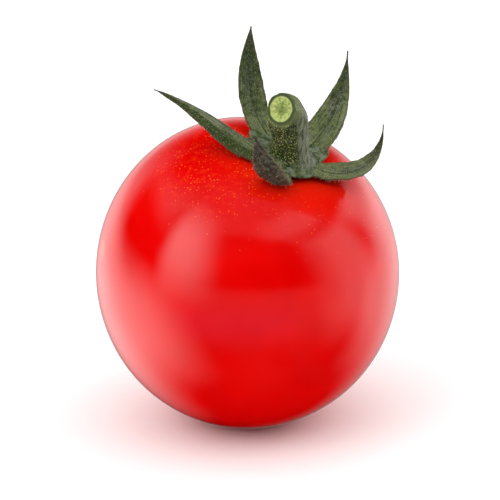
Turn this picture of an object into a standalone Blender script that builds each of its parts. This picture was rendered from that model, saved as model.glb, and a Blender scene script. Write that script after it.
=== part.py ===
"""A cherry tomato with its green calyx and a short cut stalk.

Metres, +Z up.  The origin is the middle of the small flat spot that the fruit rests on.  The
fruit leans, so everything is built on a calyx frame: its +Z runs out along the stem axis, and
its X and Y lie across it.  Lengths below are in millimetres and are scaled by MM.
"""

import math

import bmesh
import bpy
from mathutils import Quaternion, Vector

MM = 0.001

# Fruit: a turned body, flattened at the stem end, then stretched a little upright as it rests.
FRUIT_RADIUS = 16.0
STRETCH = 1.04
FLATTEN = 0.07                   # share of the radius lost at the stem end
FLATTEN_SPREAD = math.radians(35.0)
DIMPLE_DEPTH = 1.3
DIMPLE_RADIUS = 4.0
SCAR_DEPTH = 0.25
SCAR_RADIUS = 1.2
PROFILE_STEPS = 30
TURN_STEPS = 56
MERGE_DISTANCE = 0.01            # joins a turned body where its seam meets

# Pose of the resting fruit.
LEAN = math.radians(25.0)
LEAN_TOWARDS = math.radians(-45.0)
REST_CUT = 0.30                  # height of the cap that the flat spot takes off
CUTTER_SIZE = 64.0

# Calyx: a round disc in the dimple, five sepals round its rim, and the stalk on top.
CALYX_HEIGHT = 14.55             # from the middle of the fruit, before the stretch
DISC_RADIUS = 2.6
DISC_TOP = 0.15
DISC_BOTTOM = -0.45              # at its middle
DISC_RIM = -0.15                 # underside at its rim
DISC_ROUND = 0.12
DISC_STEPS = 32

# Each sepal: four Bezier points of its midrib in the calyx frame, half-width, fold of its two
# halves (up positive) and twist at the base and the tip in degrees, the share of the half-width
# at the base, the place of the widest point, and how fast the blade narrows to its tip.
SEPALS = {
    "sepal_left": {
        "midrib": ((-2.9, 0.1, 0.1), (-6.8, 0.0, 1.3), (-9.2, 0.6, 2.9), (-15.5, 1.3, 3.0)),
        "half_width": 1.7, "fold": -24, "twist": (0, 0), "base": 0.75, "widest": 0.30, "taper": 1.0,
    },
    "sepal_back_left": {
        "midrib": ((-2.3, 2.7, 0.1), (-4.5, 4.8, 0.1), (-6.3, 8.2, 3.4), (-7.1, 10.3, 7.8)),
        "half_width": 1.55, "fold": 10, "twist": (0, -15), "base": 0.78, "widest": 0.45, "taper": 1.0,
    },
    "sepal_back_right": {
        "midrib": ((1.6, 2.5, 0.1), (3.5, 5.4, 0.1), (4.8, 9.2, 3.2), (3.5, 11.4, 7.5)),
        "half_width": 1.7, "fold": 15, "twist": (0, 0), "base": 0.78, "widest": 0.32, "taper": 1.6,
    },
    "sepal_right": {
        "midrib": ((2.9, -0.4, 0.1), (5.8, -0.9, -0.1), (10.0, 1.8, 0.3), (8.2, 2.9, 5.5)),
        "half_width": 1.45, "fold": 18, "twist": (0, 0), "base": 0.85, "widest": 0.30, "taper": 1.3,
    },
    "sepal_front": {
        "midrib": ((-0.8, -2.8, 0.1), (-0.6, -5.2, -0.6), (-3.0, -5.8, 1.4), (-5.0, -4.6, 4.8)),
        "half_width": 1.7, "fold": 10, "twist": (0, 60), "base": 0.75, "widest": 0.50, "taper": 0.8,
    },
}
SEPAL_THICKNESS = 0.50
SEPAL_STEPS = 24
SEPAL_COLUMNS = 6
TIP_HALF_WIDTH = 0.12
FOLD_START = 0.35                # share of the length over which the fold opens

# Stalk: four Bezier points of its middle line, its radius from foot to cut end.
STALK_LINE = ((0.0, 0.3, 0.5), (0.0, 0.3, 1.6), (-1.6, 1.15, 5.2), (-2.8, -0.15, 5.9))
STALK_RADII = (2.05, 1.95, 1.85, 1.70)
STALK_POINTS = 12
STALK_SIDES = 4                  # bevel resolution of the curve


def clear_scene():
    for obj in list(bpy.data.objects):
        bpy.data.objects.remove(obj, do_unlink=True)


def make_collection(name):
    group = bpy.data.collections.new(name)
    bpy.context.scene.collection.children.link(group)
    return group


def material(name, colour, roughness, metallic=0.0):
    made = bpy.data.materials.new(name)
    made.use_nodes = True
    shader = made.node_tree.nodes["Principled BSDF"]
    shader.inputs["Base Color"].default_value = (*colour, 1.0)
    shader.inputs["Roughness"].default_value = roughness
    shader.inputs["Metallic"].default_value = metallic
    return made


def mesh_object(name, bm, group, parent, finish):
    mesh = bpy.data.meshes.new(name)
    bm.to_mesh(mesh)
    bm.free()
    mesh.materials.append(finish)
    obj = bpy.data.objects.new(name, mesh)
    group.objects.link(obj)
    obj.parent = parent
    return obj


def lean_rotation():
    axis = Vector((-math.sin(LEAN_TOWARDS), math.cos(LEAN_TOWARDS), 0.0))
    return Quaternion(axis, LEAN)


def profile_point(angle):
    """Outline of the turned fruit, from the stem end (angle 0) to the blossom end."""
    reach = FRUIT_RADIUS * (1.0 - FLATTEN * math.exp(-(angle / FLATTEN_SPREAD) ** 2))
    across = reach * math.sin(angle)
    along = reach * math.cos(angle)
    if along > 0.0:
        along -= DIMPLE_DEPTH * math.exp(-(across / DIMPLE_RADIUS) ** 2)
    else:
        along += SCAR_DEPTH * math.exp(-(across / SCAR_RADIUS) ** 2)
    return across, along


def make_frames(group):
    """Empties: the upright stretch, the leaning fruit frame in it, and the calyx frame."""
    middle = Vector((0.0, 0.0, STRETCH * FRUIT_RADIUS - REST_CUT)) * MM
    upright = Vector((1.0, 1.0, STRETCH))
    stretch = bpy.data.objects.new("stretch_frame", None)
    group.objects.link(stretch)
    stretch.location = middle
    stretch.scale = upright
    body = bpy.data.objects.new("fruit_frame", None)
    group.objects.link(body)
    body.parent = stretch
    body.rotation_mode = "QUATERNION"
    body.rotation_quaternion = lean_rotation()
    calyx = bpy.data.objects.new("calyx_frame", None)
    group.objects.link(calyx)
    calyx.location = middle + upright * (lean_rotation() @ Vector((0.0, 0.0, CALYX_HEIGHT * MM)))
    calyx.rotation_mode = "QUATERNION"
    calyx.rotation_quaternion = lean_rotation()
    return body, calyx


def turn(obj, steps):
    screw = obj.modifiers.new("turn", "SCREW")
    screw.axis = "Z"
    screw.angle = 2.0 * math.pi
    screw.steps = steps
    screw.render_steps = steps
    screw.use_merge_vertices = True
    screw.merge_threshold = MERGE_DISTANCE * MM


def profile_object(name, outline, group, parent, finish, steps):
    bm = bmesh.new()
    verts = [bm.verts.new((across * MM, 0.0, along * MM)) for across, along in outline]
    for first, second in zip(verts, verts[1:]):
        bm.edges.new((first, second))
    obj = mesh_object(name, bm, group, parent, finish)
    turn(obj, steps)
    return obj


def make_floor_cutter(group):
    """A block whose top face is the resting plane."""
    size = CUTTER_SIZE * MM
    bm = bmesh.new()
    bmesh.ops.create_cube(bm, size=size)
    bmesh.ops.translate(bm, verts=bm.verts, vec=(0.0, 0.0, -size / 2.0))
    mesh = bpy.data.meshes.new("floor_cutter")
    bm.to_mesh(mesh)
    bm.free()
    cutter = bpy.data.objects.new("floor_cutter", mesh)
    group.objects.link(cutter)
    cutter.hide_render = True
    cutter.display_type = "WIRE"
    return cutter


def make_fruit(group, cutters, frame):
    outline = [profile_point(math.pi * step / PROFILE_STEPS) for step in range(PROFILE_STEPS + 1)]
    outline[0] = (0.0, outline[0][1])
    outline[-1] = (0.0, outline[-1][1])
    skin = material("fruit_skin", (0.62, 0.006, 0.004), 0.12)
    fruit = profile_object("fruit", outline, group, frame, skin, TURN_STEPS)
    cut = fruit.modifiers.new("rest_spot", "BOOLEAN")
    cut.operation = "DIFFERENCE"
    cut.solver = "EXACT"
    cut.object = make_floor_cutter(cutters)
    return fruit


def make_disc(group, frame):
    outline = [
        (0.0, DISC_TOP),
        (DISC_RADIUS - DISC_ROUND, DISC_TOP),
        (DISC_RADIUS, DISC_TOP - DISC_ROUND),
        (DISC_RADIUS, DISC_RIM + DISC_ROUND),
        (DISC_RADIUS - DISC_ROUND, DISC_RIM),
        (0.0, DISC_BOTTOM),
    ]
    green = material("calyx_green", (0.10, 0.14, 0.06), 0.6)
    return profile_object("calyx_disc", outline, group, frame, green, DISC_STEPS)


def bezier(points, share):
    """Point and direction on a cubic curve."""
    a, b, c, d = (Vector(point) for point in points)
    rest = 1.0 - share
    place = a * rest ** 3 + b * (3 * rest * rest * share) + c * (3 * rest * share * share) + d * share ** 3
    way = (b - a) * (rest * rest) + (c - b) * (2 * rest * share) + (d - c) * (share * share)
    return place, way.normalized()


def blade_half_width(sepal, share):
    base = sepal["base"]
    widest = sepal["widest"]
    if share < widest:
        grow = math.sin(0.5 * math.pi * share / widest)
        return sepal["half_width"] * (base + (1.0 - base) * grow)
    fall = math.cos(0.5 * math.pi * (share - widest) / (1.0 - widest))
    return max(TIP_HALF_WIDTH, sepal["half_width"] * max(fall, 0.0) ** sepal["taper"])


def blade_stations(sepal):
    """Midrib points with the across and upward directions, carried along without spinning."""
    up = Vector((0.0, 0.0, 1.0))
    stations = []
    for step in range(SEPAL_STEPS + 1):
        share = step / SEPAL_STEPS
        place, way = bezier(sepal["midrib"], share)
        up = (up - way * up.dot(way)).normalized()
        start, end = sepal["twist"]
        turned = Quaternion(way, math.radians(start + (end - start) * share)) @ up
        stations.append((share, place, way.cross(turned), turned))
    return stations


def make_sepal(name, sepal, group, frame, finish):
    """A grid laid along the midrib, given its thickness by Solidify."""
    bm = bmesh.new()
    bmesh.ops.create_grid(bm, x_segments=SEPAL_STEPS, y_segments=SEPAL_COLUMNS, size=1.0)
    stations = blade_stations(sepal)
    for vert in bm.verts:
        step = round((vert.co.x + 1.0) / 2.0 * SEPAL_STEPS)
        side = vert.co.y
        share, place, across, up = stations[step]
        reach = blade_half_width(sepal, share)
        fold = math.radians(sepal["fold"]) * min(1.0, share / FOLD_START)
        out = across * (side * reach * math.cos(fold))
        rise = up * (side * side * reach * math.sin(fold))
        vert.co = (place + out + rise) * MM
    obj = mesh_object(name, bm, group, frame, finish)
    thick = obj.modifiers.new("thickness", "SOLIDIFY")
    thick.thickness = SEPAL_THICKNESS * MM
    thick.offset = 0.0
    obj.data.shade_smooth()
    return obj


def make_stalk(group, frame):
    """A bent tube whose far end is the flat cut."""
    curve = bpy.data.curves.new("stalk", "CURVE")
    curve.dimensions = "3D"
    curve.bevel_depth = MM
    curve.bevel_resolution = STALK_SIDES
    curve.use_fill_caps = True
    spline = curve.splines.new("POLY")
    spline.points.add(STALK_POINTS)
    for step, point in enumerate(spline.points):
        share = step / STALK_POINTS
        place, _ = bezier(STALK_LINE, share)
        point.co = (*(place * MM), 1.0)
        point.radius = stalk_radius(share)
    curve.materials.append(material("stalk_green", (0.09, 0.13, 0.05), 0.6))
    obj = bpy.data.objects.new("stalk", curve)
    group.objects.link(obj)
    obj.parent = frame
    return obj


def stalk_radius(share):
    """Radius of the stalk, read between its four stated radii."""
    spot = share * (len(STALK_RADII) - 1)
    index = min(int(spot), len(STALK_RADII) - 2)
    part = spot - index
    return STALK_RADII[index] * (1.0 - part) + STALK_RADII[index + 1] * part


def main():
    clear_scene()
    group = make_collection("cherry_tomato")
    cutters = make_collection("cutters")
    body, calyx = make_frames(group)
    make_fruit(group, cutters, body)
    make_disc(group, calyx)
    make_stalk(group, calyx)
    leaf = material("sepal_green", (0.07, 0.10, 0.04), 0.6)
    for name, sepal in SEPALS.items():
        make_sepal(name, sepal, group, calyx, leaf)


main()
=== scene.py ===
"""Looks for the cherry tomato: fine surfaces, materials, stage, light and camera.

Metres, +Z up.  Lengths named in millimetres are scaled by MM.  The calyx frame's +Z runs out along
the leaning stem axis, and its origin lies in the calyx disc.
"""
import math
import random

import bmesh
import bpy
import numpy as np
from mathutils import Matrix, Quaternion, Vector, noise


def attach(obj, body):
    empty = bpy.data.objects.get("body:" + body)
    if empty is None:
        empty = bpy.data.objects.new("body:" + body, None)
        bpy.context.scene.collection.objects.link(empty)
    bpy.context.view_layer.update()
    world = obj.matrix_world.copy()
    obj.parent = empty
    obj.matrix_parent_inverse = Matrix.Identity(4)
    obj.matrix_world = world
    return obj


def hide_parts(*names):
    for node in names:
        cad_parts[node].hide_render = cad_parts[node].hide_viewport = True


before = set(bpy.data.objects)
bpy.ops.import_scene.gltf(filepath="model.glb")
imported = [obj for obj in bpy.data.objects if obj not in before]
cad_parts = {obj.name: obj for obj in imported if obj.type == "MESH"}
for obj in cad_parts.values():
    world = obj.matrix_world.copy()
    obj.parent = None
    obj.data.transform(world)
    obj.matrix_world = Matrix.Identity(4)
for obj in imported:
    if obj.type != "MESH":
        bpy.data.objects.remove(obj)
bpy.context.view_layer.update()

MM = 0.001
SEED = 11

# --- sizes, in millimetres, the same as the CAD's where both have them -------------------------
FRUIT_RADIUS = 16.0
STRETCH = 1.04
FLATTEN = 0.07
FLATTEN_SPREAD = math.radians(35.0)
DIMPLE_DEPTH = 1.1
DIMPLE_RADIUS = 4.0
SCAR_DEPTH = 0.22
SCAR_RADIUS = 1.2
REST_CUT = 0.30
REST_BLEND = 0.05                # rounding where the skin meets the flat spot
SCAR_PIT_DEPTH = 0.16            # the small pit in the middle of the blossom scar
SCAR_PIT_RADIUS = 0.28
FRUIT_RINGS = 190
FRUIT_SIDES = 260
LEAN_ANGLE = math.radians(25.0)
LEAN_TOWARDS = math.radians(-45.0)
CALYX_HEIGHT = 14.55             # from the middle of the fruit, before the stretch
FLECKED_SIDE = Vector((-3.0, -6.2, 30.9))      # where the pale flecks crowd
BLUSH_SPOT = Vector((-15.3, -3.8, 20.2))       # a small pale orange mark

# Each sepal: its midrib in the calyx frame, half-width, fold of its two halves (up positive) and
# twist at base and tip in degrees, share of the half-width at the base, place of the widest point,
# how fast it narrows to the tip, and how many hairs it carries.  A lit ridge gets painted light
# along its middle and painted shade on its two halves, where the others get painted light on the
# faces that look up and painted shade on the rest; underside replaces GREEN_UNDERSIDE.
SEPALS = {
    "sepal_left": {
        "midrib": ((-2.9, 0.1, 0.1), (-6.8, 0.0, 1.3), (-9.2, 0.6, 2.9), (-15.5, 1.3, 3.0)),
        "half_width": 2.0, "fold": -42, "twist": (0, 0), "base": 0.95, "widest": 0.25, "taper": 1.0,
        "hairs": 700, "painted_lit_ridge": True,
    },
    "sepal_back_left": {
        "midrib": ((-2.3, 2.7, 0.1), (-4.5, 4.8, 0.1), (-6.3, 8.2, 3.4), (-7.1, 10.3, 7.8)),
        "half_width": 1.6, "fold": 10, "twist": (0, -15), "base": 1.0, "widest": 0.45, "taper": 1.0,
        "hairs": 700,
    },
    "sepal_back_right": {
        "midrib": ((1.6, 2.5, 0.1), (3.5, 5.4, 0.1), (4.8, 9.2, 3.2), (3.5, 11.4, 7.5)),
        "half_width": 1.75, "fold": 18, "twist": (0, 0), "base": 0.9, "widest": 0.32, "taper": 1.4,
        "hairs": 700,
    },
    "sepal_right": {
        "midrib": ((2.9, -0.4, 0.1), (5.8, -0.9, -0.1), (10.0, 1.8, 0.3), (8.2, 2.9, 5.5)),
        "half_width": 1.45, "fold": 24, "twist": (0, 0), "base": 0.95, "widest": 0.30, "taper": 1.25,
        "hairs": 560,
    },
    "sepal_front": {
        "midrib": ((-0.8, -2.8, 0.1), (-0.6, -5.2, -0.6), (-3.0, -5.8, 1.4), (-5.0, -4.6, 4.8)),
        "half_width": 1.7, "fold": 10, "twist": (0, 60), "base": 0.52, "widest": 0.46, "taper": 0.95,
        "hairs": 300, "underside": 0.0,
    },
}
SEPAL_THICKNESS = 0.42
TIP_HALF_WIDTH = 0.09
GREEN_UNDERSIDE = 0.6            # how far the underside keeps the green of the upper face
SEPAL_ROOT = 1.3                 # how far the blade runs on inwards under the stalk
SEPAL_STEPS = 150
SEPAL_SIDES = 30                 # points across one face of the blade
COARSE_STREAKS = 7.0             # how many fit across the blade
FINE_STREAKS = 13.0
STREAK_LENGTH = 3.0              # how many follow one another along the blade

# Hairs: the range of their lengths, and their thickness at the root.
SEPAL_HAIRS = ((0.18, 0.42), 0.011)
STALK_HAIRS = ((0.12, 0.30), 0.012)
STALK_HAIR_COUNT = 620
STALK_HAIR_SEED = 40
HAIR_LEAN = 0.6                  # how far a hair leans from straight out, at most
HAIR_BEND = 0.2                  # how far it bends, as a share of its length
HAIR_ROOT = 0.02                 # how deep its root sits

COLLAR_RADIUS = 2.9
# Each web between two sepals: its direction in degrees, and how far it reaches past the radius.
COLLAR_WEBS = ((153.0, 2.3), (97.0, 1.4), (38.0, 2.0), (-40.0, 0.2), (-135.0, 0.6))
COLLAR_WEB_SPREAD = math.radians(20.0)
COLLAR_RINGS = 44
COLLAR_SIDES = 180
WELD_DISTANCE = 0.0005           # joins the points where two of a piece's surfaces meet

STALK_LINE = ((0.0, 0.3, -0.1), (-0.3, 0.1, 1.6), (-1.6, 1.15, 5.2), (-2.8, -0.15, 5.9))
STALK_RADIUS = 1.86
STALK_FOOT = (0.80, 0.13)        # the flare at the foot: how much wider, and over what share
STALK_KNUCKLE = (0.16, 0.68, 0.16)             # how much wider, where and over what share
STALK_NECK = 0.20                # how much narrower the stalk is at the cut
STALK_STEPS = 110
STALK_TURNS = 120
SPOKES = 11                      # pale rays in the cut pith
STALK_LIP = ((0.05, 0.03), (0.10, 0.0), (0.11, -0.5))   # inward share and rise of the cut rim
CUT_RINGS = 40
CUT_SHARE = 0.94                 # width of the cut face as a share of the stalk's
CUT_THICKNESS = 0.30             # of the cut face, behind its rim
PITH_DISH = 0.16                 # how deep the pith is sunk

# --- studio ------------------------------------------------------------------------------------
# Each soft area, in degrees: the compass angle of its middle, its half-width, the softness of its
# two sides and its lean; then its lowest and highest angle and the softness there; then its
# strength.  The values began as a rough fit to the photo's reflections, then were rounded.
STUDIO_AREAS = {
    "low panel behind left": ((155, 45, 30, 30, -0.35), (-50, -5, 20, 15), 3.2),
    "low panel behind right": ((45, 30, 15, 30, 0.2), (-35, 5, 20, 15), 2.1),
    "low strip straight behind": ((90, 10, 10, 10, 0.0), (-30, -10, 10, 10), 0.2),
    "strip behind left": ((120, 35, 10, 10, -1.0), (-5, 10, 10, 20), 1.0),
    "pole behind left": ((130, 10, 10, 10, 0.0), (-5, 35, 5, 10), 0.45),
    "high strip behind left": ((125, 20, 15, 10, 1.0), (35, 50, 10, 20), 0.95),
    "main window, front left": ((218, 18, 8, 18, 0.0), (5, 50, 20, 20), 3.7),
    "dim fill in front": ((255, 75, 10, 10, -0.5), (-30, 5, 20, 5), 0.32),
    "panel on the right": ((355, 20, 20, 10, -0.1), (-25, 35, 15, 5), 1.6),
    "panel behind right": ((50, 15, 10, 15, -0.6), (0, 35, 10, 5), 1.6),
    "high panel on the right": ((335, 30, 30, 5, -0.1), (45, 60, 5, 5), 0.8),
}
# The flat light overhead: two edges and their softness by X over height, the same by Y, strength.
CEILING = ((-1.8, 1.4, 0.4, 0.2), (-0.85, 0.1, 0.1, 0.3), 0.35)
COOL_AREA = ((260, 45, 15, 15, 0.0), (-30, -10, 10, 10), 0.25)     # a faint blue fill, low in front
STUDIO_STRENGTH = 0.8
BACKDROP_STRENGTH = 1.0          # the plain white that the camera sees behind the fruit
LOWEST_CEILING = 0.10            # rise of the lowest direction that meets the ceiling light

# One overhead sun, so wide that its shadow is soft.
SUN_PLACE = (0.0, 0.1, 1.0)
SUN_STRENGTH = 3.05
SUN_ANGLE = math.radians(140.0)
FLOOR_RADIUS = 2.5               # metres

# --- camera ------------------------------------------------------------------------------------
CAMERA_ELEVATION = math.radians(20.0)
CAMERA_DISTANCE = 293.0
CAMERA_LENS = 200.0
AIM_RIGHT = 0.28                 # the aim point, measured from the middle of the fruit
AIM_ABOVE = 2.26


# --- small helpers -----------------------------------------------------------------------------
def smooth(low, high, value):
    """0 below low, 1 above high, and an even curve between."""
    share = min(1.0, max(0.0, (value - low) / (high - low)))
    return share * share * (3.0 - 2.0 * share)


def bezier(points, share):
    """Point and direction on a cubic curve; shares below 0 run on straight."""
    a, b, c, d = (Vector(point) for point in points)
    if share < 0.0:
        way = (b - a).normalized()
        return a + way * (share * 3.0 * (b - a).length), way
    rest = 1.0 - share
    place = a * rest ** 3 + b * (3 * rest * rest * share) + c * (3 * rest * share * share) + d * share ** 3
    way = (b - a) * (rest * rest) + (c - b) * (2 * rest * share) + (d - c) * (share * share)
    return place, way.normalized()


def rough(place, scale, octaves=3):
    """Even noise between about -1 and 1; scale is the size of its lumps in millimetres."""
    return noise.fractal(Vector(place) / scale, 1.0, 2.0, octaves, noise_basis="PERLIN_ORIGINAL")


def calyx_frame():
    """World matrix of the calyx frame, in millimetres."""
    axis = Vector((-math.sin(LEAN_TOWARDS), math.cos(LEAN_TOWARDS), 0.0))
    turn = Quaternion(axis, LEAN_ANGLE)
    out = turn @ Vector((0.0, 0.0, CALYX_HEIGHT * MM))
    origin = MIDDLE + Vector((out.x, out.y, out.z * STRETCH))
    return Matrix.Translation(origin) @ turn.to_matrix().to_4x4() @ Matrix.Scale(MM, 4)


MIDDLE = Vector((0.0, 0.0, (STRETCH * FRUIT_RADIUS - REST_CUT) * MM))
CALYX = calyx_frame()
LEAN = CALYX.to_quaternion()


def make_object(name, verts, faces):
    mesh = bpy.data.meshes.new(name)
    mesh.from_pydata([tuple(v) for v in verts], [], faces)
    mesh.update()
    mesh.shade_smooth()
    obj = bpy.data.objects.new(name, mesh)
    bpy.context.scene.collection.objects.link(obj)
    return obj


def tube_faces(rings, sides):
    """Quads of a closed tube of rings, each of the same number of points."""
    faces = []
    for ring in range(rings - 1):
        for side in range(sides):
            after = (side + 1) % sides
            low = ring * sides
            high = low + sides
            faces.append((low + side, low + after, high + after, high + side))
    return faces


def set_values(obj, name, values):
    """Stores one number per vertex, for the material to read."""
    layer = obj.data.attributes.new(name, "FLOAT", "POINT")
    layer.data.foreach_set("value", np.array(values, np.float32))


def set_dust_and_shade(obj):
    """How far each place faces up: the sepals' pale waxy streaks grow there, partly painted light, and
    painted shade falls where they look down or sideways; the collar gets pale waxy patches there, partly
    painted light on its top.
    """
    normals = np.array([v.normal for v in obj.data.vertices])
    set_values(obj, "dust_and_shade", np.clip((normals[:, 2] - 0.15) / 0.7, 0.0, 1.0))


def settle(obj, node, finish):
    """The piece rides on the one body, stands for a CAD node and takes its material."""
    obj.data.materials.append(finish)
    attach(obj, "root")
    if node:
        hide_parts(node)


# --- material helpers --------------------------------------------------------------------------
class Shader:
    """Short names for building a material's nodes."""

    def __init__(self, name):
        self.material = bpy.data.materials.new(name)
        self.material.use_nodes = True
        self.tree = self.material.node_tree
        self.surface = self.tree.nodes["Principled BSDF"]
        self.place = self.add("ShaderNodeTexCoord").outputs["Object"]

    def add(self, kind, **settings):
        node = self.tree.nodes.new(kind)
        for key, value in settings.items():
            setattr(node, key, value)
        return node

    def feed(self, socket, value):
        """Links a socket to another, or sets its own value."""
        if isinstance(value, bpy.types.NodeSocket):
            self.tree.links.new(value, socket)
        else:
            socket.default_value = value

    def set(self, name, value):
        self.feed(self.surface.inputs[name], value)

    def attribute(self, name):
        return self.add("ShaderNodeAttribute", attribute_name=name).outputs["Fac"]

    def math(self, operation, first, second=0.0):
        node = self.add("ShaderNodeMath", operation=operation)
        self.feed(node.inputs[0], first)
        self.feed(node.inputs[1], second)
        return node.outputs[0]

    def span(self, value, low, high, start=0.0, end=1.0):
        """Maps low..high onto start..end with soft ends, and holds outside."""
        node = self.add("ShaderNodeMapRange", interpolation_type="SMOOTHSTEP")
        self.feed(node.inputs["Value"], value)
        for name, number in (("From Min", low), ("From Max", high), ("To Min", start), ("To Max", end)):
            node.inputs[name].default_value = number
        return node.outputs["Result"]

    def noise(self, size, detail=3.0, stretch=(1.0, 1.0, 1.0)):
        """Noise whose lumps are about size millimetres across."""
        node = self.add("ShaderNodeTexNoise")
        mapping = self.add("ShaderNodeMapping")
        self.feed(mapping.inputs["Vector"], self.place)
        mapping.inputs["Scale"].default_value = stretch
        self.feed(node.inputs["Vector"], mapping.outputs["Vector"])
        node.inputs["Scale"].default_value = 1.0 / (size * MM)
        node.inputs["Detail"].default_value = detail
        return node.outputs["Fac"]

    def cells(self, size, ragged=0.0):
        """One spot to a cell of about size millimetres; ragged pushes its outline about."""
        node = self.add("ShaderNodeTexVoronoi")
        push = self.add("ShaderNodeTexNoise")
        self.feed(push.inputs["Vector"], self.place)
        push.inputs["Scale"].default_value = 3.0 / (size * MM)
        shift = self.add("ShaderNodeVectorMath", operation="MULTIPLY_ADD")
        self.feed(shift.inputs[0], push.outputs["Color"])
        shift.inputs[1].default_value = (ragged * size * MM,) * 3
        self.feed(shift.inputs[2], self.place)
        self.feed(node.inputs["Vector"], shift.outputs["Vector"])
        node.inputs["Scale"].default_value = 1.0 / (size * MM)
        return node

    def mix(self, share, first, second):
        node = self.add("ShaderNodeMix", data_type="RGBA")
        self.feed(node.inputs["Factor"], share)
        self.feed(node.inputs["A"], first if isinstance(first, bpy.types.NodeSocket) else (*first, 1.0))
        self.feed(node.inputs["B"], second if isinstance(second, bpy.types.NodeSocket) else (*second, 1.0))
        return node.outputs["Result"]

    def distance(self, point):
        node = self.add("ShaderNodeVectorMath", operation="DISTANCE")
        self.feed(node.inputs[0], self.place)
        node.inputs[1].default_value = point
        return node.outputs["Value"]

    def bump(self, height, strength, depth):
        node = self.add("ShaderNodeBump")
        node.inputs["Strength"].default_value = strength
        node.inputs["Distance"].default_value = depth * MM
        self.feed(node.inputs["Height"], height)
        self.set("Normal", node.outputs["Normal"])


# --- fruit -------------------------------------------------------------------------------------
def fruit_point(angle, turn):
    """A point of the skin, before the flat spot; angle is from the stem axis, turn is round it."""
    lobes = 0.0030 * math.cos(3.0 * turn + 0.6) + 0.0022 * math.cos(2.0 * turn + 1.9)
    reach = FRUIT_RADIUS * (1.0 - FLATTEN * math.exp(-(angle / FLATTEN_SPREAD) ** 2))
    reach *= 1.0 + lobes * math.sin(angle) ** 2
    across = reach * math.sin(angle)
    along = reach * math.cos(angle)
    if along > 0.0:
        pucker = 1.0 + 0.10 * math.cos(5.0 * turn + 0.8) + 0.05 * math.cos(9.0 * turn)
        along -= DIMPLE_DEPTH * pucker * math.exp(-(across / DIMPLE_RADIUS) ** 2)
    else:
        along += SCAR_DEPTH * math.exp(-(across / SCAR_RADIUS) ** 2)
        along -= SCAR_PIT_DEPTH * math.exp(-(across / SCAR_PIT_RADIUS) ** 2)
    point = Vector((across * math.cos(turn), across * math.sin(turn), along))
    point *= 1.0 + 0.0012 * rough(point, 9.0, 2)
    world = LEAN @ point
    world.z *= STRETCH
    return world


def flat_spot(height):
    """Rounds the skin off onto the resting plane."""
    return 0.5 * (height + math.sqrt(height * height + REST_BLEND ** 2))


def make_fruit():
    rings, sides = FRUIT_RINGS, FRUIT_SIDES
    floor = MIDDLE.z / MM
    verts = []
    for ring in range(1, rings):
        for side in range(sides):
            point = fruit_point(math.pi * ring / rings, 2.0 * math.pi * side / sides)
            verts.append((point.x * MM, point.y * MM, flat_spot(point.z + floor) * MM))
    faces = [tuple(reversed(face)) for face in tube_faces(rings - 1, sides)]
    for angle, start, flip in ((0.0, 0, False), (math.pi, (rings - 2) * sides, True)):
        pole = fruit_point(angle, 0.0)
        verts.append((pole.x * MM, pole.y * MM, flat_spot(pole.z + floor) * MM))
        for side in range(sides):
            after = (side + 1) % sides
            face = (len(verts) - 1, start + side, start + after)
            faces.append(tuple(reversed(face)) if flip else face)
    obj = make_object("fruit_skin", verts, faces)
    settle(obj, "fruit", skin_material())


def skin_material():
    m = Shader("tomato_skin")
    stem = tuple(CALYX.translation)
    reach = m.distance(stem)
    sided = m.distance(tuple(FLECKED_SIDE * MM))
    near = m.math("MAXIMUM", m.span(reach, 3.0 * MM, 14.0 * MM, 0.50, 0.0),
                  m.span(sided, 4.0 * MM, 10.0 * MM, 1.0, 0.0))
    cloud = m.noise(7.0, 2.0)
    red = m.mix(m.span(cloud, 0.35, 0.65), (0.64, 0.0002, 0.0003), (0.70, 0.0008, 0.0005))
    red = m.mix(m.span(reach, 2.5 * MM, 9.0 * MM, 0.35, 0.0), red, (0.86, 0.030, 0.003))
    blotchy = m.math("MULTIPLY", m.span(m.noise(0.7, 4.0), 0.50, 0.66), near)
    red = m.mix(m.math("MULTIPLY", blotchy, 0.22), red, (0.86, 0.042, 0.004))
    specks = m.cells(0.30, 0.9)
    dot = m.span(specks.outputs["Distance"], 0.10, 0.34, 1.0, 0.0)
    chance = m.add("ShaderNodeSeparateColor")
    m.feed(chance.inputs["Color"], specks.outputs["Color"])
    patchy = m.math("MULTIPLY", near, m.span(m.noise(4.0, 2.0), 0.36, 0.60, 0.30, 1.0))
    kept = m.math("GREATER_THAN", m.math("MULTIPLY", patchy, 0.72), chance.outputs["Red"])
    fleck = m.math("MULTIPLY", dot, kept)
    fleck = m.math("MULTIPLY", fleck, m.span(chance.outputs["Green"], 0.0, 1.0, 0.22, 1.0))
    red = m.mix(fleck, red, (0.92, 0.125, 0.012))
    ragged = m.math("MULTIPLY", m.noise(1.5, 3.0), 0.9 * MM)
    blush = m.math("ADD", m.distance(tuple(BLUSH_SPOT * MM)), ragged)
    red = m.mix(m.span(blush, 0.4 * MM, 2.0 * MM, 0.60, 0.0), red, (0.92, 0.180, 0.045))
    scar = m.distance(tuple(MIDDLE + LEAN @ Vector((0, 0, -FRUIT_RADIUS * MM))))
    red = m.mix(m.span(scar, 0.25 * MM, 0.75 * MM, 0.85, 0.0), red, (0.30, 0.12, 0.04))
    m.set("Base Color", red)
    m.set("Roughness", m.span(m.noise(3.0, 3.0), 0.3, 0.7, 0.08, 0.13))
    m.set("Specular IOR Level", 0.5)
    m.set("Subsurface Weight", 0.30)
    m.set("Subsurface Radius", (1.0, 0.06, 0.03))
    m.set("Subsurface Scale", 2.5 * MM)
    ripples = m.math("ADD", m.math("MULTIPLY", m.noise(1.6, 3.0), 0.5), m.math("MULTIPLY", fleck, -0.25))
    m.bump(ripples, 0.10, 0.12)
    return m.material


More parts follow.
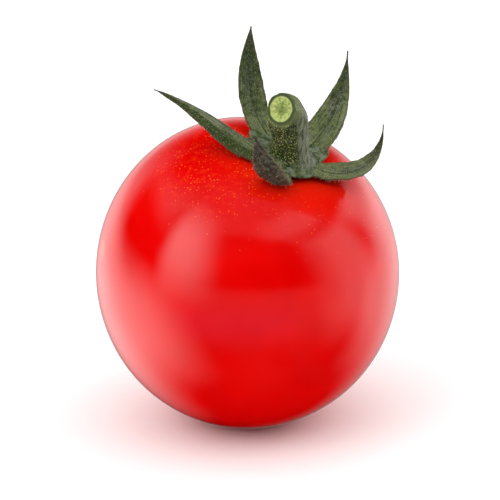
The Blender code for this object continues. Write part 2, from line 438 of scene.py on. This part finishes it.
# --- sepals ------------------------------------------------------------------------------------
def blade_half_width(sepal, share):
    base = sepal["base"]
    widest = sepal["widest"]
    if share < 0.0:
        return sepal["half_width"] * base
    if share < widest:
        grow = math.sin(0.5 * math.pi * share / widest)
        return sepal["half_width"] * (base + (1.0 - base) * grow)
    fall = max(0.0, math.cos(0.5 * math.pi * (share - widest) / (1.0 - widest)))
    return max(TIP_HALF_WIDTH, sepal["half_width"] * fall ** sepal["taper"])


def blade_stations(sepal):
    """Shares along the blade with the midrib's point, across and upward directions."""
    handle = 3.0 * (Vector(sepal["midrib"][1]) - Vector(sepal["midrib"][0])).length
    start = -SEPAL_ROOT / handle
    up = Vector((0.0, 0.0, 1.0))
    stations = []
    for step in range(SEPAL_STEPS + 1):
        share = start + (1.0 - start) * step / SEPAL_STEPS
        place, way = bezier(sepal["midrib"], share)
        up = (up - way * up.dot(way)).normalized()
        low, high = sepal["twist"]
        turned = Quaternion(way, math.radians(low + (high - low) * max(0.0, share))) @ up
        stations.append((share, place, way.cross(turned), turned))
    return stations


def blade_section(sepal, seed, station):
    """Points of one closed cross-section: over the top face, then back along the underside."""
    share, place, across, up = station
    half = blade_half_width(sepal, share)
    relief = min(1.0, half)
    fold = math.radians(sepal["fold"]) * smooth(-0.05, 0.30, share)
    body = min(SEPAL_THICKNESS * (1.0 - 0.5 * smooth(0.2, 1.0, share)), half * 0.9)
    points, sides, tops = [], [], []
    for face in (1.0, -1.0):
        for step in range(SEPAL_SIDES):
            side = math.cos(math.pi * (step + 0.5) / SEPAL_SIDES) * face
            crease = math.sqrt(side * side + 0.02) - 0.14
            wave = 0.17 * side * abs(side) * rough((share * 8.0 + 3.0 * (side > 0), seed, 0.0), 1.0, 2)
            pleats = 0.045 * rough((share * 5.0, side * 3.4, seed + 5.0), 1.0, 3)
            puckers = 0.030 * rough((share * 26.0, side * 2.2, seed + 9.0), 1.0, 3)
            groove = 0.06 * math.exp(-(side / 0.09) ** 2)
            veins = 0.022 * math.cos(side * 9.0) ** 6
            keel = 0.16 * math.exp(-(side / 0.16) ** 2) * (1.0 - smooth(0.5, 1.0, share))
            thick = body * (0.16 + 0.84 * math.sqrt(max(0.0, 1.0 - side * side)))
            middle = crease * half * math.sin(fold) + (wave + pleats + puckers) * relief
            if face > 0.0:
                rise = middle + 0.5 * thick + (veins - groove) * relief
            else:
                rise = middle - 0.5 * thick - (keel + veins) * relief
            edge = 1.0 + 0.05 * rough((share * 18.0, seed * 3.0, side > 0), 1.0, 4)
            points.append(place + across * (side * half * math.cos(fold) * edge) + up * rise)
            sides.append(side)
            tops.append(1.0 if face > 0.0 else sepal.get("underside", GREEN_UNDERSIDE))
    return points, sides, tops


def make_sepal(name, sepal, seed, finish, hair_finish):
    verts, along, across, upper = [], [], [], []
    for station in blade_stations(sepal):
        points, sides, tops = blade_section(sepal, seed, station)
        verts += [CALYX @ point for point in points]
        along += [station[0]] * len(points)
        across += sides
        upper += tops
    sides = 2 * SEPAL_SIDES
    rings = SEPAL_STEPS + 1
    faces = tube_faces(rings, sides)
    faces.append(tuple(reversed(range(sides))))
    faces.append(tuple(range((rings - 1) * sides, rings * sides)))
    obj = make_object(name + "_blade", verts, faces)
    make_outward(obj)
    set_values(obj, "along", along)
    set_values(obj, "across", across)
    set_values(obj, "upper", upper)
    # A lit ridge: painted light along the middle of the blade and painted shade on its two halves.
    if "painted_lit_ridge" in sepal:
        set_values(obj, "dust_and_shade", [1.05 - smooth(0.30, 0.62, abs(side)) for side in across])
    else:
        set_dust_and_shade(obj)
    settle(obj, name, finish)
    hairs = make_hairs(name + "_hairs", obj, sepal["hairs"], *SEPAL_HAIRS, seed)
    settle(hairs, None, hair_finish)


def make_outward(obj):
    """Faces point out of the closed body."""
    bm = bmesh.new()
    bm.from_mesh(obj.data)
    bmesh.ops.recalc_face_normals(bm, faces=bm.faces)
    bm.to_mesh(obj.data)
    bm.free()


def lengthwise(m, across, along, fine):
    """Streaks that run along the blade; fine is how many fit across it."""
    spot = m.add("ShaderNodeCombineXYZ")
    m.feed(spot.inputs["X"], m.math("MULTIPLY", across, fine))
    m.feed(spot.inputs["Y"], m.math("MULTIPLY", along, STREAK_LENGTH))
    streaks = m.add("ShaderNodeTexNoise")
    m.feed(streaks.inputs["Vector"], spot.outputs["Vector"])
    streaks.inputs["Scale"].default_value = 1.0
    streaks.inputs["Detail"].default_value = 4.0
    return streaks.outputs["Fac"]


def sepal_material():
    m = Shader("sepal_leaf")
    along = m.attribute("along")
    across = m.attribute("across")
    upper = m.attribute("upper")
    edge = m.math("ABSOLUTE", across)
    mottle = m.noise(0.35, 5.0)
    cloud = m.noise(2.2, 3.0)
    streaks = lengthwise(m, across, along, COARSE_STREAKS)
    green = m.mix(m.span(mottle, 0.36, 0.66), (0.026, 0.044, 0.006), (0.105, 0.145, 0.030))
    green = m.mix(m.span(streaks, 0.50, 0.66, 0.0, 0.65), green, (0.170, 0.205, 0.062))
    green = m.mix(m.span(streaks, 0.30, 0.46, 0.55, 0.0), green, (0.016, 0.027, 0.006))
    middle = m.math("MULTIPLY", m.span(edge, 0.20, 0.75, 1.0, 0.0), m.span(along, 0.12, 0.45))
    grey = m.mix(m.span(mottle, 0.40, 0.64), (0.034, 0.042, 0.022), (0.125, 0.138, 0.088))
    green = m.mix(m.math("MULTIPLY", middle, m.span(cloud, 0.36, 0.58, 0.25, 0.85)), green, grey)
    dust_and_shade = m.attribute("dust_and_shade")
    # Pale waxy streaks, denser where the faces look up: partly real, partly painted light on the top.
    powder_and_top_light = lengthwise(m, across, along, FINE_STREAKS)
    powder_and_top_light = m.math("ADD", powder_and_top_light, m.math("MULTIPLY", dust_and_shade, 0.14))
    green = m.mix(m.span(powder_and_top_light, 0.54, 0.76, 0.0, 0.60), green, (0.235, 0.255, 0.160))
    # Painted shade: darker green where the faces look down or sideways, and on the halves of a lit ridge.
    green = m.mix(m.span(dust_and_shade, 0.10, 0.70, 0.62, 0.0), green, (0.016, 0.029, 0.004))
    # Painted shade: a dark line along the midrib crease.
    crease = m.span(edge, 0.015, 0.09, 0.60, 0.0)
    green = m.mix(crease, green, (0.020, 0.030, 0.008))
    tip = m.math("ADD", along, m.math("MULTIPLY", mottle, 0.30))
    green = m.mix(m.span(tip, 0.92, 1.16, 0.0, 0.85), green, (0.052, 0.040, 0.024))
    rim = m.math("ADD", edge, m.math("MULTIPLY", mottle, 0.12))
    green = m.mix(m.span(rim, 0.92, 1.05, 0.0, 0.75), green, (0.075, 0.058, 0.028))
    dots = m.cells(0.15, 0.5)
    chance = m.add("ShaderNodeSeparateColor")
    m.feed(chance.inputs["Color"], dots.outputs["Color"])
    dense = m.span(along, 0.0, 0.30, 0.75, 0.22)
    dot = m.math("MULTIPLY", m.span(dots.outputs["Distance"], 0.16, 0.42, 1.0, 0.0),
                 m.math("GREATER_THAN", dense, chance.outputs["Red"]))
    gland = m.mix(m.span(along, 0.05, 0.35), (0.400, 0.430, 0.110), (0.330, 0.340, 0.240))
    green = m.mix(m.math("MULTIPLY", dot, 0.75), green, gland)
    under = m.math("MULTIPLY", m.span(upper, 0.0, 1.0, 0.80, 0.0), m.span(along, -0.05, 0.25))
    brown = m.mix(m.span(mottle, 0.38, 0.64), (0.022, 0.018, 0.013), (0.085, 0.066, 0.050))
    brown = m.mix(m.span(rim, 0.90, 1.04, 0.0, 0.6), brown, (0.230, 0.150, 0.105))
    green = m.mix(under, green, brown)
    m.set("Base Color", green)
    m.set("Roughness", m.span(mottle, 0.3, 0.7, 0.50, 0.70))
    m.set("Specular IOR Level", 0.22)
    height = m.math("ADD", m.noise(0.20, 4.0), m.math("MULTIPLY", streaks, 0.9))
    m.bump(m.math("ADD", height, m.math("MULTIPLY", dot, 0.7)), 0.7, 0.12)
    return m.material


# --- hairs -------------------------------------------------------------------------------------
def hair_root(mesh, index, chooser):
    """A place on a four-sided face and its outward direction."""
    face = mesh.polygons[index]
    corners = [mesh.vertices[v].co for v in face.vertices]
    first, second = chooser.random(), chooser.random()
    bottom = corners[0].lerp(corners[1], first)
    top = corners[3].lerp(corners[2], first)
    return bottom.lerp(top, second), face.normal.copy()


def make_hairs(name, host, count, lengths, thickness, seed):
    """Short tapered hairs, each a closed spike, joined in one mesh."""
    chooser = random.Random(SEED * 100 + seed)
    mesh = host.data
    quads = [p.index for p in mesh.polygons if len(p.vertices) == 4]
    weights = np.cumsum([mesh.polygons[i].area for i in quads])
    verts, faces = [], []
    for _ in range(count):
        pick = int(np.searchsorted(weights, chooser.random() * weights[-1]))
        root, normal = hair_root(mesh, quads[min(pick, len(quads) - 1)], chooser)
        lean = Vector([chooser.uniform(-HAIR_LEAN, HAIR_LEAN) for _ in range(3)])
        way = (normal + lean).normalized()
        length = chooser.uniform(*lengths) * MM
        side = way.orthogonal().normalized()
        other = way.cross(side)
        width = thickness * MM
        start = len(verts)
        bend = Vector([chooser.uniform(-HAIR_BEND, HAIR_BEND) for _ in range(3)]) * length
        for height, share in ((-HAIR_ROOT * MM, 1.0), (length * 0.5, 0.7)):
            middle = root + way * height + bend * (height / length) ** 2
            for corner in range(3):
                turn = 2.0 * math.pi * corner / 3.0
                verts.append(middle + (side * math.cos(turn) + other * math.sin(turn)) * (width * share))
        verts.append(root + way * length + bend)
        for corner in range(3):
            after = (corner + 1) % 3
            faces.append((start + corner, start + after, start + 3 + after, start + 3 + corner))
            faces.append((start + 3 + corner, start + 3 + after, start + 6))
        faces.append((start + 2, start + 1, start))
    return make_object(name, verts, faces)


def hair_material():
    m = Shader("plant_hair")
    tint = m.noise(1.5, 2.0)
    m.set("Base Color", m.mix(m.span(tint, 0.35, 0.65), (0.30, 0.33, 0.20), (0.46, 0.48, 0.34)))
    m.set("Roughness", 0.45)
    m.set("Specular IOR Level", 0.4)
    return m.material


# --- stalk -------------------------------------------------------------------------------------
def stalk_radius(share):
    """Flared at the foot, swollen at the knuckle, drawn in at the cut."""
    flare, flare_reach = STALK_FOOT
    swell, middle, swell_reach = STALK_KNUCKLE
    foot = flare * math.exp(-(share / flare_reach) ** 2)
    knuckle = swell * math.exp(-((share - middle) / swell_reach) ** 2)
    return STALK_RADIUS + foot + knuckle - STALK_NECK * smooth(0.82, 1.0, share)


def stalk_stations():
    up = Vector((1.0, 0.0, 0.0))
    stations = []
    for step in range(STALK_STEPS + 1):
        share = step / STALK_STEPS
        place, way = bezier(STALK_LINE, share)
        up = (up - way * up.dot(way)).normalized()
        stations.append((share, place, up, way.cross(up), way))
    return stations


def stalk_point(station, turn):
    share, place, up, across, _ = station
    ribs = 0.022 * math.cos(5.0 * turn + 1.0 + share) + 0.012 * math.cos(11.0 * turn - share * 2.0)
    lumps = 0.035 * rough((2.0 * math.cos(turn), 2.0 * math.sin(turn), share * 6.0), 1.0, 3)
    radius = stalk_radius(share) * (1.0 + ribs + lumps)
    return place + (up * math.cos(turn) + across * math.sin(turn)) * radius


def make_stalk(finish, hair_finish):
    """Makes the stalk and its hairs; gives the last station and the points of its rim."""
    stations = stalk_stations()
    turns = [2.0 * math.pi * side / STALK_TURNS for side in range(STALK_TURNS)]
    # One side of the stalk is marked, where the material paints a pale highlight of its fuzz.
    verts, along, lit_flank = [], [], []
    for station in stations:
        for turn in turns:
            verts.append(CALYX @ stalk_point(station, turn))
            along.append(station[0])
            lit_flank.append(max(0.0, math.cos(turn + 0.35)))
    last = stations[-1]
    rim = [stalk_point(last, turn) for turn in turns]
    for inward, rise in STALK_LIP:
        for point in rim:
            verts.append(CALYX @ (point.lerp(last[1], inward) + last[4] * rise))
            along.append(1.0)
            lit_flank.append(0.0)
    rings = len(stations) + len(STALK_LIP)
    faces = tube_faces(rings, STALK_TURNS)
    faces.append(tuple(reversed(range(STALK_TURNS))))
    faces.append(tuple(range((rings - 1) * STALK_TURNS, rings * STALK_TURNS)))
    obj = make_object("stalk_stem", verts, faces)
    make_outward(obj)
    set_values(obj, "along", along)
    set_values(obj, "lit_flank", lit_flank)
    settle(obj, "stalk", finish)
    hairs = make_hairs("stalk_hairs", obj, STALK_HAIR_COUNT, *STALK_HAIRS, STALK_HAIR_SEED)
    settle(hairs, None, hair_finish)
    return last, rim


def make_cut_face(last, rim, finish):
    """The cut end: a skin ring, a pale rim and a slightly sunken pith with rays."""
    _, centre, _, _, way = last
    verts = []
    for ring in range(CUT_RINGS + 1):
        share = 1.0 - ring / CUT_RINGS
        for side, point in enumerate(rim):
            turn = 2.0 * math.pi * side / STALK_TURNS
            dish = -PITH_DISH * (1.0 - smooth(0.55, 0.92, share))
            grain = 0.035 * rough((math.cos(turn) * share * 7.0, math.sin(turn) * share * 7.0, 2.0), 1.0, 3)
            rays = 0.030 * math.cos(SPOKES * turn) * smooth(0.1, 0.4, share)
            rays *= 1.0 - smooth(0.6, 0.8, share)
            lift = 0.035 + 0.05 * math.exp(-((share - 0.86) / 0.06) ** 2) + dish + grain + rays
            spot = centre.lerp(point, CUT_SHARE * share)
            verts.append(CALYX @ (spot + way * lift))
    faces = tube_faces(CUT_RINGS + 1, STALK_TURNS)
    back = len(verts)
    for point in rim:
        verts.append(CALYX @ (centre.lerp(point, CUT_SHARE) - way * CUT_THICKNESS))
    for side in range(STALK_TURNS):
        after = (side + 1) % STALK_TURNS
        faces.append((side, back + side, back + after, after))
    faces.append(tuple(range(back, back + STALK_TURNS)))
    obj = make_object("stalk_cut_face", verts, faces)
    weld(obj)
    set_cut_values(obj, last, rim)
    settle(obj, None, finish)


def weld(obj):
    """Joins points that lie in one place, and turns the faces outwards."""
    bm = bmesh.new()
    bm.from_mesh(obj.data)
    bmesh.ops.remove_doubles(bm, verts=bm.verts, dist=WELD_DISTANCE * MM)
    bmesh.ops.recalc_face_normals(bm, faces=bm.faces)
    bm.to_mesh(obj.data)
    bm.free()


def set_cut_values(obj, last, rim):
    """Distance from the middle of the cut, as a share of its radius, and its pale spokes."""
    _, centre, up, across, _ = last
    reach = sum((point - centre).length for point in rim) / len(rim)
    arms = [CALYX.inverted() @ v.co - centre for v in obj.data.vertices]
    set_values(obj, "out", [arm.length / reach for arm in arms])
    turns = [math.atan2(arm.dot(across), arm.dot(up)) for arm in arms]
    set_values(obj, "spoke", [0.5 + 0.5 * math.cos(SPOKES * turn + math.sin(3.0 * turn)) for turn in turns])


def stalk_material():
    m = Shader("stalk_skin")
    along = m.attribute("along")
    lit_flank = m.attribute("lit_flank")
    mottle = m.noise(0.35, 5.0)
    streaks = m.noise(0.32, 4.0, stretch=(1.0, 1.0, 0.22))
    green = m.mix(m.span(mottle, 0.36, 0.64), (0.009, 0.018, 0.003), (0.035, 0.058, 0.010))
    green = m.mix(m.span(streaks, 0.50, 0.64, 0.0, 0.45), green, (0.130, 0.150, 0.080))
    # Painted highlight: pale grey fuzz along the one marked side of the stalk.
    grey = m.mix(m.span(streaks, 0.38, 0.62), (0.036, 0.050, 0.022), (0.190, 0.200, 0.140))
    green = m.mix(m.span(lit_flank, 0.60, 0.96, 0.0, 0.80), green, grey)
    dots = m.cells(0.19, 0.6)
    chance = m.add("ShaderNodeSeparateColor")
    m.feed(chance.inputs["Color"], dots.outputs["Color"])
    dot = m.math("MULTIPLY", m.span(dots.outputs["Distance"], 0.18, 0.44, 1.0, 0.0),
                 m.math("GREATER_THAN", chance.outputs["Red"], 0.22))
    gland = m.mix(chance.outputs["Green"], (0.320, 0.370, 0.060), (0.680, 0.720, 0.230))
    # Fewer glands show through the painted highlight on that side.
    dot = m.math("MULTIPLY", dot, m.span(lit_flank, 0.45, 0.85, 0.90, 0.15))
    green = m.mix(dot, green, gland)
    top = m.span(along, 0.74, 0.95, 0.0, 0.50)
    green = m.mix(top, green, (0.165, 0.195, 0.060))
    cut = m.span(along, 0.985, 1.0, 0.0, 0.9)
    green = m.mix(cut, green, (0.070, 0.100, 0.018))
    foot = m.math("MULTIPLY", m.span(along, 0.03, 0.18, 1.0, 0.0), m.span(m.noise(0.8, 3.0), 0.42, 0.60))
    green = m.mix(foot, green, (0.160, 0.185, 0.130))
    m.set("Base Color", green)
    m.set("Roughness", m.span(mottle, 0.3, 0.7, 0.42, 0.65))
    m.set("Specular IOR Level", 0.3)
    height = m.math("ADD", m.noise(0.3, 4.0), m.math("MULTIPLY", dot, 0.9))
    m.bump(height, 0.7, 0.10)
    return m.material


def cut_material():
    m = Shader("stalk_cut")
    out = m.attribute("out")
    grain = m.noise(0.16, 4.0)
    patches = m.noise(0.55, 3.0)
    spoke = m.attribute("spoke")
    pith = m.mix(m.span(grain, 0.36, 0.62), (0.150, 0.215, 0.024), (0.420, 0.490, 0.130))
    rays = m.math("MULTIPLY", spoke, m.span(out, 0.30, 0.55))
    pith = m.mix(m.math("MULTIPLY", rays, 0.55), pith, (0.540, 0.610, 0.210))
    core = m.math("ADD", out, m.math("MULTIPLY", patches, 1.3))
    pith = m.mix(m.span(core, 0.72, 1.10, 0.92, 0.0), pith, (0.075, 0.125, 0.010))
    cells = m.cells(0.20, 0.5)
    dark = m.span(cells.outputs["Distance"], 0.04, 0.26, 0.7, 0.0)
    pith = m.mix(m.math("MULTIPLY", dark, m.span(patches, 0.40, 0.58)), pith, (0.110, 0.170, 0.018))
    skinward = m.span(out, 0.58, 0.72, 0.0, 0.6)
    pith = m.mix(skinward, pith, (0.430, 0.500, 0.150))
    ring = m.math("ADD", out, m.math("MULTIPLY", grain, 0.06))
    pith = m.mix(m.span(ring, 0.79, 0.85), pith, (0.030, 0.052, 0.008))
    m.set("Base Color", pith)
    m.set("Roughness", 0.4)
    m.set("Subsurface Weight", 0.15)
    m.set("Subsurface Radius", (0.5, 0.6, 0.2))
    m.set("Subsurface Scale", 0.4 * MM)
    m.bump(m.math("ADD", grain, m.math("MULTIPLY", dark, -0.6)), 0.6, 0.08)
    return m.material


# --- calyx disc --------------------------------------------------------------------------------
def web_reach(turn):
    """How far the web between the sepals runs out, by direction round the stem axis."""
    reach = COLLAR_RADIUS
    for towards, further in COLLAR_WEBS:
        apart = (turn - math.radians(towards) + math.pi) % (2.0 * math.pi) - math.pi
        reach += further * math.exp(-(apart / COLLAR_WEB_SPREAD) ** 2)
    return reach


def make_collar(finish):
    """The calyx base: a low lumpy disc that runs out into webs between neighbouring sepals."""
    rings, sides = COLLAR_RINGS, COLLAR_SIDES
    verts = []
    for face in (1.0, -1.0):
        for ring in range(1, rings + 1):
            share = ring / rings
            for side in range(sides):
                turn = 2.0 * math.pi * side / sides
                radius = web_reach(turn) * share
                x, y = radius * math.cos(turn), radius * math.sin(turn)
                lump = 0.09 * rough((x, y, 4.0), 0.8, 4)
                edge = math.sqrt(max(0.0, 1.0 - share ** 8))
                cup = 0.10 + 0.055 * max(0.0, radius - 2.0) ** 2
                swell = 0.45 * math.exp(-(radius / 2.6) ** 4)
                if face > 0.0:
                    z = cup + (0.20 + swell + lump) * edge
                else:
                    z = cup - (0.14 + 0.5 * swell) * edge
                verts.append(CALYX @ Vector((x, y, z)))
    faces = tube_faces(rings, sides)
    faces += [tuple(i + rings * sides for i in reversed(face)) for face in tube_faces(rings, sides)]
    faces.append(tuple(reversed(range(sides))))
    faces.append(tuple(range(rings * sides, rings * sides + sides)))
    obj = make_object("calyx_collar", verts, faces)
    weld(obj)
    set_dust_and_shade(obj)
    settle(obj, "calyx_disc", finish)


def collar_material():
    m = Shader("calyx_bloom")
    mottle = m.noise(0.35, 5.0)
    green = m.mix(m.span(mottle, 0.36, 0.64), (0.028, 0.044, 0.012), (0.095, 0.125, 0.045))
    # Pale waxy patches laid only where the faces look up: partly real, partly painted light on the top.
    bloom_and_top_light = m.math("MULTIPLY", m.span(m.noise(0.7, 5.0), 0.44, 0.66, 0.0, 0.65), m.attribute("dust_and_shade"))
    green = m.mix(bloom_and_top_light, green, (0.220, 0.255, 0.180))
    m.set("Base Color", green)
    m.set("Roughness", m.span(mottle, 0.3, 0.7, 0.50, 0.72))
    m.set("Specular IOR Level", 0.25)
    m.bump(m.noise(0.25, 4.0), 0.7, 0.12)
    return m.material


# --- stage -------------------------------------------------------------------------------------
def make_floor():
    bm = bmesh.new()
    bmesh.ops.create_circle(bm, cap_ends=True, segments=96, radius=FLOOR_RADIUS)
    mesh = bpy.data.meshes.new("floor")
    bm.to_mesh(mesh)
    bm.free()
    floor = bpy.data.objects.new("floor", mesh)
    bpy.context.scene.collection.objects.link(floor)
    m = Shader("pale_floor")
    m.set("Base Color", (0.97, 0.97, 0.97, 1.0))
    m.set("Roughness", 0.9)
    m.set("Specular IOR Level", 0.0)
    mesh.materials.append(m.material)
    floor.visible_glossy = False


class Sky:
    """Builds the studio round the fruit as soft bright areas, by compass direction and height."""

    def __init__(self):
        world = bpy.context.scene.world or bpy.data.worlds.new("studio")
        bpy.context.scene.world = world
        world.use_nodes = True
        self.tree = world.node_tree
        self.tree.nodes.clear()
        place = self.tree.nodes.new("ShaderNodeTexCoord").outputs["Generated"]
        parts = self.tree.nodes.new("ShaderNodeSeparateXYZ")
        self.tree.links.new(place, parts.inputs[0])
        self.rise = parts.outputs["Z"]
        self.compass = self.math("ARCTAN2", parts.outputs["Y"], parts.outputs["X"])
        self.height = self.math("ARCSINE", self.rise)
        above = self.math("MAXIMUM", self.rise, LOWEST_CEILING)
        self.sideways = self.math("DIVIDE", parts.outputs["X"], above)
        self.deepways = self.math("DIVIDE", parts.outputs["Y"], above)

    def math(self, operation, first, second=0.0, third=0.0):
        node = self.tree.nodes.new("ShaderNodeMath")
        node.operation = operation
        for socket, value in zip(node.inputs, (first, second, third)):
            if isinstance(value, bpy.types.NodeSocket):
                self.tree.links.new(value, socket)
            else:
                socket.default_value = value
        return node.outputs[0]

    def ramp(self, value, low, high):
        node = self.tree.nodes.new("ShaderNodeMapRange")
        node.interpolation_type = "SMOOTHSTEP"
        self.tree.links.new(value, node.inputs["Value"])
        node.inputs["From Min"].default_value = low
        node.inputs["From Max"].default_value = high
        return node.outputs["Result"]

    def window(self, value, low, high, soft_low, soft_high):
        """1 between low and high, falling softly to 0 outside."""
        rise = self.ramp(value, low - soft_low, low + soft_low)
        fall = self.ramp(value, high - soft_high, high + soft_high)
        return self.math("MULTIPLY", rise, self.math("SUBTRACT", 1.0, fall))

    def area(self, turns, heights, strength):
        """One soft bright area, in degrees.  Turns is its middle, half-width, the softness of its
        two sides and how far it leans for each degree of height."""
        middle, half, soft_low, soft_high = (math.radians(angle) for angle in turns[:4])
        leaning = self.math("MULTIPLY", self.height, turns[4])
        offset = self.math("SUBTRACT", self.compass, self.math("ADD", leaning, middle))
        wrapped = self.math("WRAP", offset, math.pi, -math.pi)
        across = self.window(wrapped, -half, half, soft_low, soft_high)
        lit = self.math("MULTIPLY", across, self.window(self.height, *(math.radians(a) for a in heights)))
        return self.math("MULTIPLY", lit, strength)

    def ceiling(self, sideways, deepways, strength):
        """A flat soft area overhead, its sides measured in heights of the ceiling."""
        across = self.window(self.sideways, *sideways)
        lit = self.math("MULTIPLY", across, self.window(self.deepways, *deepways))
        lit = self.math("MULTIPLY", lit, self.ramp(self.rise, LOWEST_CEILING, 2.0 * LOWEST_CEILING))
        return self.math("MULTIPLY", lit, strength)

    def finish(self, areas, cool):
        """Joins the areas; cool adds to their blue alone.  The camera sees the plain backdrop."""
        light = areas[0]
        for extra in areas[1:]:
            light = self.math("ADD", light, extra)
        colour = self.tree.nodes.new("ShaderNodeCombineColor")
        self.tree.links.new(light, colour.inputs["Red"])
        self.tree.links.new(light, colour.inputs["Green"])
        self.tree.links.new(self.math("ADD", light, cool), colour.inputs["Blue"])
        studio = self.tree.nodes.new("ShaderNodeBackground")
        self.tree.links.new(colour.outputs["Color"], studio.inputs["Color"])
        studio.inputs["Strength"].default_value = STUDIO_STRENGTH
        plain = self.tree.nodes.new("ShaderNodeBackground")
        plain.inputs["Color"].default_value = (1.0, 1.0, 1.0, 1.0)
        plain.inputs["Strength"].default_value = BACKDROP_STRENGTH
        rays = self.tree.nodes.new("ShaderNodeLightPath")
        mix = self.tree.nodes.new("ShaderNodeMixShader")
        self.tree.links.new(rays.outputs["Is Camera Ray"], mix.inputs[0])
        self.tree.links.new(studio.outputs[0], mix.inputs[1])
        self.tree.links.new(plain.outputs[0], mix.inputs[2])
        out = self.tree.nodes.new("ShaderNodeOutputWorld")
        self.tree.links.new(mix.outputs[0], out.inputs["Surface"])


def make_studio():
    """Soft areas of light; turns go counter-clockwise from +X, heights up from level."""
    sky = Sky()
    areas = [sky.area(*area) for area in STUDIO_AREAS.values()]
    areas.append(sky.ceiling(*CEILING))
    sky.finish(areas, sky.area(*COOL_AREA))


def make_sun():
    """A soft overhead light that falls on surfaces but isn't seen in the gloss."""
    data = bpy.data.lights.new("overhead", "SUN")
    data.energy = SUN_STRENGTH
    data.angle = SUN_ANGLE
    lamp = bpy.data.objects.new("overhead", data)
    lamp.location = SUN_PLACE
    lamp.rotation_euler = (-Vector(SUN_PLACE)).to_track_quat("-Z", "Y").to_euler()
    lamp.visible_glossy = False
    bpy.context.scene.collection.objects.link(lamp)


def make_camera():
    towards = Vector((0.0, -math.cos(CAMERA_ELEVATION), math.sin(CAMERA_ELEVATION)))
    above = Vector((0.0, math.sin(CAMERA_ELEVATION), math.cos(CAMERA_ELEVATION)))
    aim = MIDDLE + (Vector((AIM_RIGHT, 0.0, 0.0)) + above * AIM_ABOVE) * MM
    data = bpy.data.cameras.new("camera")
    data.lens = CAMERA_LENS
    data.clip_start = 0.01
    camera = bpy.data.objects.new("camera", data)
    camera.location = aim + towards * (CAMERA_DISTANCE * MM)
    camera.rotation_euler = (math.radians(90.0) - CAMERA_ELEVATION, 0.0, 0.0)
    bpy.context.scene.collection.objects.link(camera)
    bpy.context.scene.camera = camera


def make_stage():
    scene = bpy.context.scene
    scene.view_settings.view_transform = "Standard"
    make_floor()
    make_studio()
    make_sun()
    make_camera()


def main():
    make_fruit()
    hair = hair_material()
    leaf = sepal_material()
    for seed, (name, sepal) in enumerate(SEPALS.items()):
        make_sepal(name, sepal, seed, leaf, hair)
    last, rim = make_stalk(stalk_material(), hair)
    make_cut_face(last, rim, cut_material())
    make_collar(collar_material())
    make_stage()


main()
